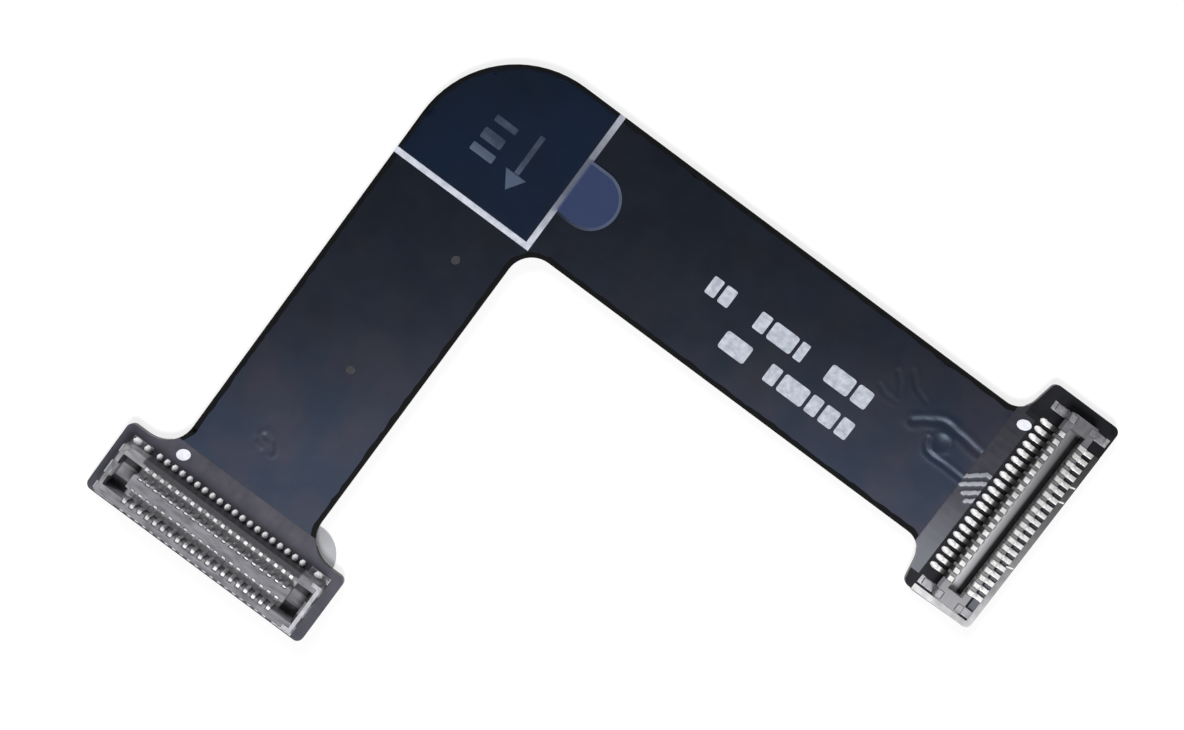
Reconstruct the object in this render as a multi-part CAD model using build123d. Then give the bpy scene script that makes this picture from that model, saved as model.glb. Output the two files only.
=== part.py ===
from build123d import *
import os

# L-shaped flexible printed cable with a 0.4 mm pitch board-to-board connector on a wing at each end.
# Millimetres. The cable lies flat with both connectors facing up (+Z). While it is drawn, X = 0 is the
# left edge of the left arm and Y = 0 is the upper edge of the right arm. The last step moves everything
# so that the origin is at the bottom centre of the whole part.

# Outline of the flexible circuit
ARM_WIDTH = 6.85
LEFT_ARM_TO_ROW = 24.83
RIGHT_ARM_TO_ROW = 30.05
OUTER_CORNER_RADIUS = 4.9
INNER_CORNER_RADIUS = 1.2
WING_CORNER_RADIUS = 0.3

# Layers, from the resting surface up
LINER_THICKNESS = 0.05
ADHESIVE_THICKNESS = 0.05
STIFFENER_THICKNESS = 0.25
FLEX_THICKNESS = 0.15
SHIELD_THICKNESS = 0.03
PAD_THICKNESS = 0.03

# Rows of contacts, the same in both connectors so that they would mate
PITCH = 0.4
CONTACTS_PER_ROW = 20
STRIP_THICKNESS = 0.08
SLOT_CLEARANCE = 0.02

# Receptacle: a tub with a centre island, spring contacts between island and wall
RECEPTACLE_HEIGHT = 1.0
RECEPTACLE_FLOOR = 0.14
RECEPTACLE_WALL = 0.41
RECEPTACLE_END_WALL = 0.35
RECEPTACLE_CORNER_CHAMFER = 0.1
SLOT_WIDTH = 0.48
ISLAND_WIDTH = 0.64
ISLAND_DROP = 0.1
ISLAND_PAST_ROW = 0.35
ISLAND_TO_END_WALL = 0.75
ISLAND_GROOVE_DEPTH = 0.1
LEAD_IN = 0.1
RECEPTACLE_CONTACT_WIDTH = 0.18
RECEPTACLE_TAIL_REACH = 0.25
CREST_CHAMFER = 0.05
CREST_GAP = 0.08
SPRING_BULGE = 0.08
SPRING_TIP_DEPTH = 0.14
SPRING_TIP_LENGTH = 0.2

# Header: a plug with a groove between two ridges, contacts folded over the ridges
HEADER_HEIGHT = 0.8
HEADER_FLOOR = 0.25
HEADER_CORNER_CHAMFER = 0.1
HEADER_CONTACT_WIDTH = 0.22
HEADER_CONTACT_PROUD = 0.03
HEADER_CONTACT_FOOT_GAP = 0.05
HEADER_TAIL_REACH = 0.55
FOLD_CHAMFER = 0.05
MATING_GAP = 0.02
MATING_END_GAP = 0.05

# Hold-down nails
NAIL_THICKNESS = 0.1
NAIL_STRIP_WIDTH = 0.2
NAIL_INSET = 0.06
NAIL_FOOT_LENGTH = 0.95
NAIL_TAB_LENGTH = 0.3
NAIL_TAB_WIDTH = 0.2
HEADER_NAIL_WIDTH = 0.34
HEADER_NAIL_INSET = 0.07
HEADER_NAIL_WEB_HEIGHT = 0.4

# Lands on the flexible circuit
PAD_WIDTH = 0.2
PAD_TOE = 0.06
HEADER_PAD_TOE = 0.18
PAD_HEEL_GAP = 0.02
NAIL_PAD_MARGIN = 0.03

# Wings round the connectors
RECEPTACLE_WING_FILLET = 1.4
RECEPTACLE_SHOULDER = 0.36
RECEPTACLE_OUTER_MARGIN = 0.05
RECEPTACLE_WING_END_MARGIN = 0.475
HEADER_WING_FILLET = 1.0
HEADER_SHOULDER = 0.78
HEADER_OUTER_MARGIN = 0.1
HEADER_WING_UPPER_MARGIN = 0.56
HEADER_WING_LOWER_MARGIN = 0.33
HEADER_WING_SLANT = 0.35
HEADER_OFFSET = 0.1

# Shield film and stiffeners, measured from the middle of each connector
SHIELD_STOP = 2.55
STIFFENER_REACH = 2.25

# Relief of the copper that shows through the films, beside the header
RELIEF = 0.015
TRENCH_WIDTH = 0.12
VIA_X = 4.32
VIA_RISE = 0.67
VIA_RADIUS = 0.42
TRENCH_ABOVE_VIA = 0.6
TRENCH_BELOW_VIA = 0.75
TRENCH_LEFT_OF_VIA = 1.4
TRENCH_BEND = 0.65
TRENCH_PAST_FILM = 0.5
TRACE_WIDTH = 0.14
TRACE_FIRST_RISE = 0.6
TRACE_COUNT = 4
TRACE_BEND = 0.2
TRACE_BEND_STEP = 0.13

# Pads of adhesive behind the wings and their clear liners
BACK_MARGIN = 0.22
LINER_CORNER_RADIUS = 0.35
LINER_OVERHANG = 0.08
BACK_TAB_RADIUS = 1.38
BACK_TAB_INSET = 2.12
BACK_TAB_REACH = 1.12
HEADER_LINER_SLIP = 0.2
HEADER_LINER_TURN = 1.5

# Adhesive and blue liner on the corner
CORNER_LINER_GAP = 0.15
CORNER_ADHESIVE_INSET = 0.1
CORNER_TAB_RADIUS = 1.34
CORNER_TAB_DROP = 3.63
CORNER_TAB_REACH = 1.01

# Heights of the layers
adhesive_bottom = LINER_THICKNESS
stiffener_bottom = adhesive_bottom + ADHESIVE_THICKNESS
flex_bottom = stiffener_bottom + STIFFENER_THICKNESS
flex_top = flex_bottom + FLEX_THICKNESS
shield_top = flex_top + SHIELD_THICKNESS
corner_liner_bottom = shield_top + ADHESIVE_THICKNESS

# Receptacle, across its width, from the middle outwards
row_half = (CONTACTS_PER_ROW - 1) * PITCH / 2
island_side = ISLAND_WIDTH / 2
wall_inside = island_side + SLOT_WIDTH
receptacle_side = wall_inside + RECEPTACLE_WALL
receptacle_tail_end = receptacle_side + RECEPTACLE_TAIL_REACH
riser_inside = wall_inside + CREST_GAP
riser_outside = riser_inside + STRIP_THICKNESS
leg_inside = wall_inside - STRIP_THICKNESS

# Receptacle, along its length
island_end = row_half + ISLAND_PAST_ROW
cavity_end = island_end + ISLAND_TO_END_WALL
receptacle_end = cavity_end + RECEPTACLE_END_WALL
island_top = RECEPTACLE_HEIGHT - ISLAND_DROP

# Header, which fits into the slots of such a receptacle
plug_inside = island_side + MATING_GAP
plug_outside = leg_inside - MATING_GAP
header_side = plug_outside - HEADER_CONTACT_PROUD
header_tail_end = plug_outside + HEADER_TAIL_REACH
groove_end = island_end + MATING_END_GAP
header_end = cavity_end - MATING_END_GAP
ridge_top = HEADER_HEIGHT - HEADER_CONTACT_PROUD

# Wings, from the middle of each connector
receptacle_pad_end = receptacle_tail_end + PAD_TOE
header_pad_end = header_tail_end + HEADER_PAD_TOE
receptacle_shoulder = receptacle_pad_end + RECEPTACLE_SHOULDER
receptacle_wing_outer = receptacle_pad_end + RECEPTACLE_OUTER_MARGIN
receptacle_wing_half = receptacle_end + RECEPTACLE_WING_END_MARGIN
header_shoulder = header_pad_end + HEADER_SHOULDER
header_wing_outer = header_pad_end + HEADER_OUTER_MARGIN

# Places of the connectors and edges of the wings, on the drawing
receptacle_x = ARM_WIDTH / 2
receptacle_y = -LEFT_ARM_TO_ROW
header_x = RIGHT_ARM_TO_ROW
header_y = -ARM_WIDTH / 2 - HEADER_OFFSET
wing_left = receptacle_x - receptacle_wing_half
wing_right = receptacle_x + receptacle_wing_half
wing_shoulder = receptacle_y + receptacle_shoulder
wing_bottom = receptacle_y - receptacle_wing_outer
plug_wing_inner = header_x - header_shoulder
plug_wing_outer = header_x + header_wing_outer
plug_wing_top = header_y + header_end + HEADER_WING_UPPER_MARGIN
plug_wing_low = header_y - header_end - HEADER_WING_LOWER_MARGIN

shield_low = receptacle_y + SHIELD_STOP
shield_right = header_x - SHIELD_STOP
via_x = header_x - VIA_X
via_y = header_y + VIA_RISE

receptacle_place = Pos(receptacle_x, receptacle_y, flex_top)
header_place = Pos(header_x, header_y, flex_top) * Rot(0, 0, 90)
row_places = [i * PITCH - row_half for i in range(CONTACTS_PER_ROW)]


# Drawing helpers

def rounded(corners, radii):
    """The flat area inside the corners, each rounded by its own radius."""
    return make_face(FilletPolyline(*corners, radius=radii, close=True))


def sheet(area, bottom, thickness):
    """A flat sheet that covers an area, from its underside up."""
    return Pos(0, 0, bottom) * extrude(area, thickness, dir=(0, 0, 1))


def block(low, high):
    """A box between its lowest and highest corners."""
    size = [b - a for a, b in zip(low, high)]
    return Pos(*low) * Box(*size, align=(Align.MIN, Align.MIN, Align.MIN))


def folded(outline, width):
    """A strip whose edge view lies across the connector (Y outwards, Z up), centred on X = 0."""
    return extrude(Plane.YZ * make_face(Polyline(*outline, close=True)), width / 2, both=True)


def moulding(end, side, corner, height):
    """A housing's block, from its half length and half width, with its upright corners chamfered."""
    area = chamfer(Rectangle(2 * end, 2 * side).vertices(), corner)
    return extrude(area, height)


def line_on_film(points, width):
    """A narrow band of even width along a bent line."""
    return trace(Polyline(*points), line_width=width)


def repeated(piece):
    """The piece at every place of a contact row, as separate solids."""
    return Compound([Pos(x, 0, 0) * piece for x in row_places])


def other_side(piece):
    return mirror(piece, Plane.XZ)


def other_end(piece):
    return mirror(piece, Plane.YZ)


# The flexible circuit and the film on it

def wing_radii(largest, first_step, last_step):
    """The radii round one wing, whose end fillets are no larger than the steps leave room for."""
    first, last = (min(largest, step - WING_CORNER_RADIUS) for step in (first_step, last_step))
    return [first, *[WING_CORNER_RADIUS] * 4, last]


def circuit_outline():
    corners = [
        (0, 0),
        (plug_wing_inner, 0),
        (plug_wing_inner + HEADER_WING_SLANT, plug_wing_top),
        (plug_wing_outer, plug_wing_top),
        (plug_wing_outer, plug_wing_low),
        (plug_wing_inner + HEADER_WING_SLANT, plug_wing_low),
        (plug_wing_inner, -ARM_WIDTH),
        (ARM_WIDTH, -ARM_WIDTH),
        (ARM_WIDTH, wing_shoulder),
        (wing_right, wing_shoulder),
        (wing_right, wing_bottom),
        (wing_left, wing_bottom),
        (wing_left, wing_shoulder),
        (0, wing_shoulder),
    ]
    plug_wing = wing_radii(HEADER_WING_FILLET, plug_wing_top, -ARM_WIDTH - plug_wing_low)
    tub_wing = wing_radii(RECEPTACLE_WING_FILLET, wing_right - ARM_WIDTH, -wing_left)
    return rounded(corners, [OUTER_CORNER_RADIUS, *plug_wing, INNER_CORNER_RADIUS, *tub_wing])


circuit = circuit_outline()


def part_of_circuit(low, high):
    """The part of the circuit's outline between two corners of a rectangle."""
    window = Pos(*low) * Rectangle(high[0] - low[0], high[1] - low[1], align=(Align.MIN, Align.MIN))
    return circuit & window


def keyhole_trenches():
    """The two clearance lines in the copper above and below a via, which run on to the header."""
    left = via_x - TRENCH_LEFT_OF_VIA
    high = via_y + TRENCH_ABOVE_VIA
    low = via_y - TRENCH_BELOW_VIA
    upper = [(left, high - TRENCH_BEND), (left + TRENCH_BEND, high), (shield_right + TRENCH_PAST_FILM, high)]
    lower = [(via_x, low), (shield_right, low)]
    return line_on_film(upper, TRENCH_WIDTH) + line_on_film(lower, TRENCH_WIDTH)


def via_dimple():
    """The round hollow where the film is pressed down over a via."""
    return Pos(via_x, via_y) * Circle(VIA_RADIUS)


def fan_in_trace(number):
    """One raised trace that leaves a land and turns down beside its neighbours, as far as the film."""
    y = header_y + TRACE_FIRST_RISE - number * PITCH
    land = header_x - header_pad_end
    bend = land - TRACE_BEND + (number - TRACE_COUNT + 1) * TRACE_BEND_STEP
    run = bend - shield_right - TRACE_WIDTH / 2
    return line_on_film([(land, y), (bend, y), (bend - run, y - run)], TRACE_WIDTH)


def flex_circuit():
    base = sheet(circuit, flex_bottom, FLEX_THICKNESS)
    trenches = sheet(keyhole_trenches(), flex_top - RELIEF, FLEX_THICKNESS)
    traces = [sheet(fan_in_trace(number), flex_top, RELIEF) for number in range(TRACE_COUNT)]
    return base - trenches + traces


def shield_film():
    area = part_of_circuit((0, shield_low), (shield_right, 0))
    pressed_in = sheet(keyhole_trenches() + via_dimple(), shield_top - RELIEF, SHIELD_THICKNESS)
    return sheet(area, flex_top, SHIELD_THICKNESS) - pressed_in


# Receptacle, drawn with its length along X and the cable on its +Y side

def receptacle_contact():
    """Tail, riser, crest over the wall, leg, floor run and bulging spring, as one folded strip."""
    tail_top = PAD_THICKNESS + STRIP_THICKNESS
    top = RECEPTACLE_HEIGHT
    floor = RECEPTACLE_FLOOR
    spring_back = island_side - ISLAND_GROOVE_DEPTH + SLOT_CLEARANCE
    spring_front = spring_back + STRIP_THICKNESS
    tip = top - SPRING_TIP_DEPTH
    bulge = tip - SPRING_TIP_LENGTH
    outline = [
        (receptacle_tail_end, PAD_THICKNESS),
        (receptacle_tail_end, tail_top),
        (riser_outside, tail_top),
        (riser_outside, top - CREST_CHAMFER),
        (riser_outside - CREST_CHAMFER, top),
        (leg_inside + CREST_CHAMFER, top),
        (leg_inside, top - CREST_CHAMFER),
        (leg_inside, floor + STRIP_THICKNESS),
        (spring_front + STRIP_THICKNESS, floor + STRIP_THICKNESS),
        (spring_front + SPRING_BULGE, bulge),
        (spring_front, tip),
        (spring_back, tip),
        (spring_back + SPRING_BULGE, bulge),
        (spring_back, floor),
        (wall_inside, floor),
        (wall_inside, top - STRIP_THICKNESS),
        (riser_inside, top - STRIP_THICKNESS),
        (riser_inside, PAD_THICKNESS),
    ]
    return folded(outline, RECEPTACLE_CONTACT_WIDTH)


def receptacle_contact_space():
    """What one contact takes out of the wall, its tail window and the island's side."""
    window_top = PAD_THICKNESS + STRIP_THICKNESS + SLOT_CLEARANCE
    above = 2 * RECEPTACLE_HEIGHT
    outline = [
        (island_side - ISLAND_GROOVE_DEPTH, RECEPTACLE_FLOOR),
        (riser_inside - SLOT_CLEARANCE, RECEPTACLE_FLOOR),
        (riser_inside - SLOT_CLEARANCE, -RECEPTACLE_FLOOR),
        (receptacle_tail_end, -RECEPTACLE_FLOOR),
        (receptacle_tail_end, window_top),
        (riser_outside, window_top),
        (riser_outside, above),
        (island_side - ISLAND_GROOVE_DEPTH, above),
    ]
    return folded(outline, RECEPTACLE_CONTACT_WIDTH + 2 * SLOT_CLEARANCE)


def receptacle_nail():
    """A strip over the end wall, with a leg and a long foot at each side and two tabs on the walls."""
    strip_out = receptacle_end - NAIL_INSET
    strip_in = strip_out - NAIL_STRIP_WIDTH
    leg_in = receptacle_side - NAIL_THICKNESS
    top = RECEPTACLE_HEIGHT
    underside = top - NAIL_THICKNESS
    foot_in = strip_out - NAIL_FOOT_LENGTH
    foot_top = PAD_THICKNESS + NAIL_THICKNESS
    tab_low = (strip_in - NAIL_TAB_LENGTH, receptacle_side - NAIL_TAB_WIDTH, underside)
    bridge = block((strip_in, -receptacle_side, underside), (strip_out, receptacle_side, top))
    leg = block((strip_in, leg_in, PAD_THICKNESS), (strip_out, receptacle_side, top))
    foot = block((foot_in, receptacle_side, PAD_THICKNESS), (strip_out, receptacle_tail_end, foot_top))
    tab = block(tab_low, (strip_in, receptacle_side, top))
    side = leg + foot + tab
    return bridge + side + other_side(side)


def receptacle_housing(nails):
    top = RECEPTACLE_HEIGHT
    floor = RECEPTACLE_FLOOR
    outside = moulding(receptacle_end, receptacle_side, RECEPTACLE_CORNER_CHAMFER, top)
    cavity = block((-cavity_end, -wall_inside, floor), (cavity_end, wall_inside, top))
    island = block((-island_end, -island_side, floor), (island_end, island_side, island_top))
    tub = outside - cavity
    across_the_top = tub.edges().filter_by(Axis.Y).group_by(Axis.Z)[-1]
    rim = [edge for edge in across_the_top if abs(abs(edge.center().X) - cavity_end) < LEAD_IN]
    tub = chamfer(rim, LEAD_IN)
    space = receptacle_contact_space()
    spaces = [Pos(x, 0, 0) * cut for x in row_places for cut in (space, other_side(space))]
    return (tub + island) - spaces - nails


# Header, drawn the same way, its cable side on +Y too

def header_contact():
    """Tail, riser, fold over the ridge and inner leg, as one folded strip."""
    top = HEADER_HEIGHT
    foot = HEADER_FLOOR + HEADER_CONTACT_FOOT_GAP
    outline = [
        (header_tail_end, PAD_THICKNESS),
        (header_tail_end, PAD_THICKNESS + STRIP_THICKNESS),
        (plug_outside, PAD_THICKNESS + STRIP_THICKNESS),
        (plug_outside, top - FOLD_CHAMFER),
        (plug_outside - FOLD_CHAMFER, top),
        (plug_inside + FOLD_CHAMFER, top),
        (plug_inside, top - FOLD_CHAMFER),
        (plug_inside, foot),
        (plug_inside + STRIP_THICKNESS, foot),
        (plug_inside + STRIP_THICKNESS, top - STRIP_THICKNESS),
        (plug_outside - STRIP_THICKNESS, top - STRIP_THICKNESS),
        (plug_outside - STRIP_THICKNESS, PAD_THICKNESS),
    ]
    return folded(outline, HEADER_CONTACT_WIDTH)


def header_contact_space():
    """What one contact takes out of the ridge it is folded over."""
    above = 2 * HEADER_HEIGHT
    groove_middle = plug_inside / 2
    foot = HEADER_FLOOR + HEADER_CONTACT_FOOT_GAP
    outline = [
        (header_tail_end, -HEADER_FLOOR),
        (header_tail_end, above),
        (groove_middle, above),
        (groove_middle, foot),
        (plug_inside + STRIP_THICKNESS, foot),
        (plug_inside + STRIP_THICKNESS, HEADER_HEIGHT - STRIP_THICKNESS),
        (plug_outside - STRIP_THICKNESS, HEADER_HEIGHT - STRIP_THICKNESS),
        (plug_outside - STRIP_THICKNESS, -HEADER_FLOOR),
    ]
    return folded(outline, HEADER_CONTACT_WIDTH + 2 * SLOT_CLEARANCE)


def header_nail():
    """A strip folded over both ridges at the end, joined by a web low in the end block."""
    top = HEADER_HEIGHT
    foot_top = PAD_THICKNESS + NAIL_THICKNESS
    web_top = HEADER_NAIL_WEB_HEIGHT
    web_bottom = web_top - NAIL_THICKNESS
    leg_outside = plug_inside + NAIL_THICKNESS
    riser = plug_outside - NAIL_THICKNESS
    half = [
        (0, web_bottom),
        (leg_outside, web_bottom),
        (leg_outside, top - NAIL_THICKNESS),
        (riser, top - NAIL_THICKNESS),
        (riser, PAD_THICKNESS),
        (header_tail_end, PAD_THICKNESS),
        (header_tail_end, foot_top),
        (plug_outside, foot_top),
        (plug_outside, top - FOLD_CHAMFER),
        (plug_outside - FOLD_CHAMFER, top),
        (plug_inside + FOLD_CHAMFER, top),
        (plug_inside, top - FOLD_CHAMFER),
        (plug_inside, web_top),
        (0, web_top),
    ]
    side = folded(half, HEADER_NAIL_WIDTH)
    middle = header_end - HEADER_NAIL_INSET - HEADER_NAIL_WIDTH / 2
    return Pos(middle, 0, 0) * (side + other_side(side))


def header_housing(nails):
    outside = moulding(header_end, header_side, HEADER_CORNER_CHAMFER, ridge_top)
    groove_side = plug_inside + HEADER_CONTACT_PROUD
    groove = block((-groove_end, -groove_side, HEADER_FLOOR), (groove_end, groove_side, HEADER_HEIGHT))
    space = header_contact_space()
    spaces = [Pos(x, 0, 0) * cut for x in row_places for cut in (space, other_side(space))]
    return outside - groove - spaces - nails


# Lands under the tails and the nails' feet

def lands(heel, toe, nail_low, nail_high):
    """Both rows of lands of a connector and its four nail lands, as separate solids."""
    land = block((-PAD_WIDTH / 2, heel, 0), (PAD_WIDTH / 2, toe, PAD_THICKNESS))
    row = [Pos(x, 0, 0) * land for x in row_places]
    for_nail = block((nail_low, heel, 0), (nail_high, toe, PAD_THICKNESS))
    side = [*row, for_nail, other_end(for_nail)]
    return Compound([*side, *[other_side(pad) for pad in side]])


def receptacle_pads():
    heel = receptacle_side + PAD_HEEL_GAP
    foot_out = receptacle_end - NAIL_INSET
    foot_in = foot_out - NAIL_FOOT_LENGTH
    return lands(heel, receptacle_pad_end, foot_in - NAIL_PAD_MARGIN, foot_out + NAIL_PAD_MARGIN)


def header_pads():
    heel = header_side + PAD_HEEL_GAP
    foot_out = header_end - HEADER_NAIL_INSET
    foot_in = foot_out - HEADER_NAIL_WIDTH
    return lands(heel, header_pad_end, foot_in - NAIL_PAD_MARGIN, foot_out + NAIL_PAD_MARGIN)


# Stiffeners, adhesive and liners behind the wings

def receptacle_stiffener():
    area = part_of_circuit((wing_left, wing_bottom), (wing_right, receptacle_y + STIFFENER_REACH))
    return sheet(area, stiffener_bottom, STIFFENER_THICKNESS)


def header_stiffener():
    area = part_of_circuit((header_x - STIFFENER_REACH, plug_wing_low), (plug_wing_outer, plug_wing_top))
    return sheet(area, stiffener_bottom, STIFFENER_THICKNESS)


receptacle_back_middle = Pos(receptacle_x, (wing_shoulder + wing_bottom) / 2)
receptacle_back_length = wing_right - wing_left - 2 * BACK_MARGIN
receptacle_back_width = wing_shoulder - wing_bottom - 2 * BACK_MARGIN
header_back_inner = plug_wing_inner + HEADER_WING_SLANT
header_back_middle = Pos((header_back_inner + plug_wing_outer) / 2, (plug_wing_top + plug_wing_low) / 2)
header_back_length = plug_wing_top - plug_wing_low - 2 * BACK_MARGIN
header_back_width = plug_wing_outer - header_back_inner - 2 * BACK_MARGIN


def liner_area(length_x, length_y):
    """A release liner hangs a little past its adhesive on every side."""
    return Rectangle(length_x + 2 * LINER_OVERHANG, length_y + 2 * LINER_OVERHANG)


def receptacle_back_adhesive():
    area = receptacle_back_middle * Rectangle(receptacle_back_length, receptacle_back_width)
    return sheet(area, adhesive_bottom, ADHESIVE_THICKNESS)


def receptacle_back_liner():
    pad = receptacle_back_middle * liner_area(receptacle_back_length, receptacle_back_width)
    tab_x = wing_right - BACK_TAB_INSET
    tab_y = wing_shoulder + BACK_TAB_REACH - BACK_TAB_RADIUS
    neck_length = tab_y - receptacle_y
    neck = Pos(tab_x, tab_y) * Rectangle(2 * BACK_TAB_RADIUS, neck_length, align=(Align.CENTER, Align.MAX))
    tab = Pos(tab_x, tab_y) * Circle(BACK_TAB_RADIUS)
    return sheet(pad + neck + tab, 0, LINER_THICKNESS)


def header_back_adhesive():
    area = header_back_middle * Rectangle(header_back_width, header_back_length)
    return sheet(area, adhesive_bottom, ADHESIVE_THICKNESS)


def header_back_liner():
    """Put down by hand, so a little turned and slipped past the wing's lower end."""
    area = fillet(liner_area(header_back_width, header_back_length).vertices(), LINER_CORNER_RADIUS)
    turned = Pos(0, -HEADER_LINER_SLIP) * Rot(0, 0, HEADER_LINER_TURN) * area
    return sheet(header_back_middle * turned, 0, LINER_THICKNESS)


# Adhesive and blue liner on the corner

def corner_area(gap):
    """The square corner between the two locating lines, kept in from its edges by a gap."""
    low = -ARM_WIDTH + gap
    high = ARM_WIDTH - gap
    corners = [(gap, -gap), (high, -gap), (high, low), (gap, low)]
    return rounded(corners, [OUTER_CORNER_RADIUS - gap, 0, 0, 0])


def corner_adhesive():
    return sheet(corner_area(CORNER_LINER_GAP + CORNER_ADHESIVE_INSET), shield_top, ADHESIVE_THICKNESS)


def corner_liner():
    tab_x = ARM_WIDTH + CORNER_TAB_REACH
    neck_low = (ARM_WIDTH / 2, -CORNER_TAB_DROP - CORNER_TAB_RADIUS)
    neck_length = tab_x - neck_low[0]
    neck = Pos(*neck_low) * Rectangle(neck_length, 2 * CORNER_TAB_RADIUS, align=(Align.MIN, Align.MIN))
    tab = Pos(tab_x, -CORNER_TAB_DROP) * Circle(CORNER_TAB_RADIUS)
    area = corner_area(CORNER_LINER_GAP) + neck + tab
    return sheet(area, corner_liner_bottom, LINER_THICKNESS)


# Put together

receptacle_nail_right = receptacle_nail()
receptacle_nail_left = other_end(receptacle_nail_right)
receptacle_body = receptacle_housing([receptacle_nail_right, receptacle_nail_left])
header_nail_upper = header_nail()
header_nail_lower = other_end(header_nail_upper)
header_body = header_housing([header_nail_upper, header_nail_lower])
spring_contact = receptacle_contact()
plug_contact = header_contact()

nodes = {
    "flex_circuit": flex_circuit(),
    "shield_film": shield_film(),
    "receptacle_pads": receptacle_place * receptacle_pads(),
    "header_pads": header_place * header_pads(),
    "receptacle_housing": receptacle_place * receptacle_body,
    "receptacle_contacts_cable_side": receptacle_place * repeated(spring_contact),
    "receptacle_contacts_outer_side": receptacle_place * repeated(other_side(spring_contact)),
    "receptacle_nail_left": receptacle_place * receptacle_nail_left,
    "receptacle_nail_right": receptacle_place * receptacle_nail_right,
    "header_housing": header_place * header_body,
    "header_contacts_cable_side": header_place * repeated(plug_contact),
    "header_contacts_outer_side": header_place * repeated(other_side(plug_contact)),
    "header_nail_upper": header_place * header_nail_upper,
    "header_nail_lower": header_place * header_nail_lower,
    "receptacle_stiffener": receptacle_stiffener(),
    "header_stiffener": header_stiffener(),
    "receptacle_back_adhesive": receptacle_back_adhesive(),
    "receptacle_back_liner": receptacle_back_liner(),
    "header_back_adhesive": header_back_adhesive(),
    "header_back_liner": header_back_liner(),
    "corner_adhesive": corner_adhesive(),
    "corner_liner": corner_liner(),
}

box = Compound(list(nodes.values())).bounding_box()
to_origin = Pos(-(box.min.X + box.max.X) / 2, -(box.min.Y + box.max.Y) / 2, -box.min.Z)

os.makedirs("parts", exist_ok=True)
for name, shape in nodes.items():
    export_step(to_origin * shape, f"parts/{name}.step")
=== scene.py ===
# %% [markdown]
# A flat flex cable, dressed for its picture. It is an L-shaped flexible printed circuit with a tiny
# board-to-board connector on a wing at each end. The solids come ready packed at real size. This lesson
# gives each one its finish, and models what is too soft or too thin for them: the black film with the
# copper showing through it, the print, the solder and the release liners.

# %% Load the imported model
from math import cos, exp, hypot, radians, sin, tau

import bmesh
import bpy
from mathutils import Euler, Matrix, Vector, noise


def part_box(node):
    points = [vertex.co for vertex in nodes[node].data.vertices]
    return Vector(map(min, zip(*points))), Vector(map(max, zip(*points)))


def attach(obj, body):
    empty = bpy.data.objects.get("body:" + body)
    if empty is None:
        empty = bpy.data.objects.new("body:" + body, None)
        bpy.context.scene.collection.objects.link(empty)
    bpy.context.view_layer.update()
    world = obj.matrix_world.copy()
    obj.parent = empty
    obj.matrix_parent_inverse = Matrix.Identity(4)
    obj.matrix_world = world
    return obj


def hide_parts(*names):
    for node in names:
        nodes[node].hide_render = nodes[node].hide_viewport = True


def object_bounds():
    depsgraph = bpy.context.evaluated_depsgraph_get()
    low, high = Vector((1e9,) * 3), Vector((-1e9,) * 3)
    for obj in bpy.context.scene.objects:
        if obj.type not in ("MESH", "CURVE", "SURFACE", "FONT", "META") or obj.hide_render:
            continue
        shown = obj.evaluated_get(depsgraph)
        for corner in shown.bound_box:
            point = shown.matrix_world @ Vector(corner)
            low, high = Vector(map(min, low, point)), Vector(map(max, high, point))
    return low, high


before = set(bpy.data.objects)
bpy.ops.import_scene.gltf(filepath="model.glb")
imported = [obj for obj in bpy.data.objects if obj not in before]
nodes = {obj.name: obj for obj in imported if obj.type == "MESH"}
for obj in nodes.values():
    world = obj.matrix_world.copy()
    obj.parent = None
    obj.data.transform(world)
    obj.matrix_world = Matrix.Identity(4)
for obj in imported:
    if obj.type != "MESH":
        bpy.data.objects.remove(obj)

cad_low, cad_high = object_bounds()
MM = 0.001
print("pieces in the frame:", len(nodes))
print("size in millimetres:", [round(side / MM, 2) for side in cad_high - cad_low])

# %% [markdown]
# Everything printed on the cable is placed the way a drawing would give it: millimetres to the right of
# the left arm's edge, and millimetres down from the upper edge of the right arm. The film's own box gives
# that corner, so nothing has to be fitted by eye.

# %% Places on the sheet
film_low, film_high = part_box("shield_film")
flex_low, flex_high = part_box("flex_circuit")
flex_bottom = flex_low.z
flex_top = film_low.z
film_top = film_high.z


def spot(right, down, height=0.0):
    """A point on the film, from its upper left corner."""
    return Vector((film_low.x + right * MM, film_high.y - down * MM, film_top + height * MM))


def on_sheet(point):
    """The drawing place, in millimetres, of a point of the model."""
    return (point[0] - film_low.x) / MM, (film_high.y - point[1]) / MM


film_end_right = on_sheet(film_high)[0]
film_end_down = on_sheet(film_low)[1]
wing_right, wing_down = on_sheet((flex_high.x, flex_low.y))
print("the film ends", round(film_end_right, 2), "mm to the right and", round(film_end_down, 2), "mm down")

# %% [markdown]
# The camera stands almost straight above the cable and is turned, so that the L hangs like a roof. Its
# place and turn were worked out from the cable's corners in the photograph, as was the lens. The whole
# thing is only 34 mm wide, so the near clip has to come right down.

# %% Camera
CAMERA_PLACE = Vector((-3.474, 9.477, 84.947)) * MM
CAMERA_TURN = Euler((radians(-3.866), radians(2.095), radians(36.631)))
LENS = 60.8
SENSOR_WIDTH = 36
NEAR_CLIP = 1 * MM
FAR_CLIP = 10
camera_data = bpy.data.cameras.new("camera")
camera_data.lens = LENS
camera_data.sensor_width = SENSOR_WIDTH
camera_data.clip_start = NEAR_CLIP
camera_data.clip_end = FAR_CLIP
camera = bpy.data.objects.new("camera", camera_data)
camera.location = CAMERA_PLACE
camera.rotation_euler = CAMERA_TURN
bpy.context.collection.objects.link(camera)
bpy.context.scene.camera = camera
bpy.context.scene.view_settings.view_transform = "Standard"

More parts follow.
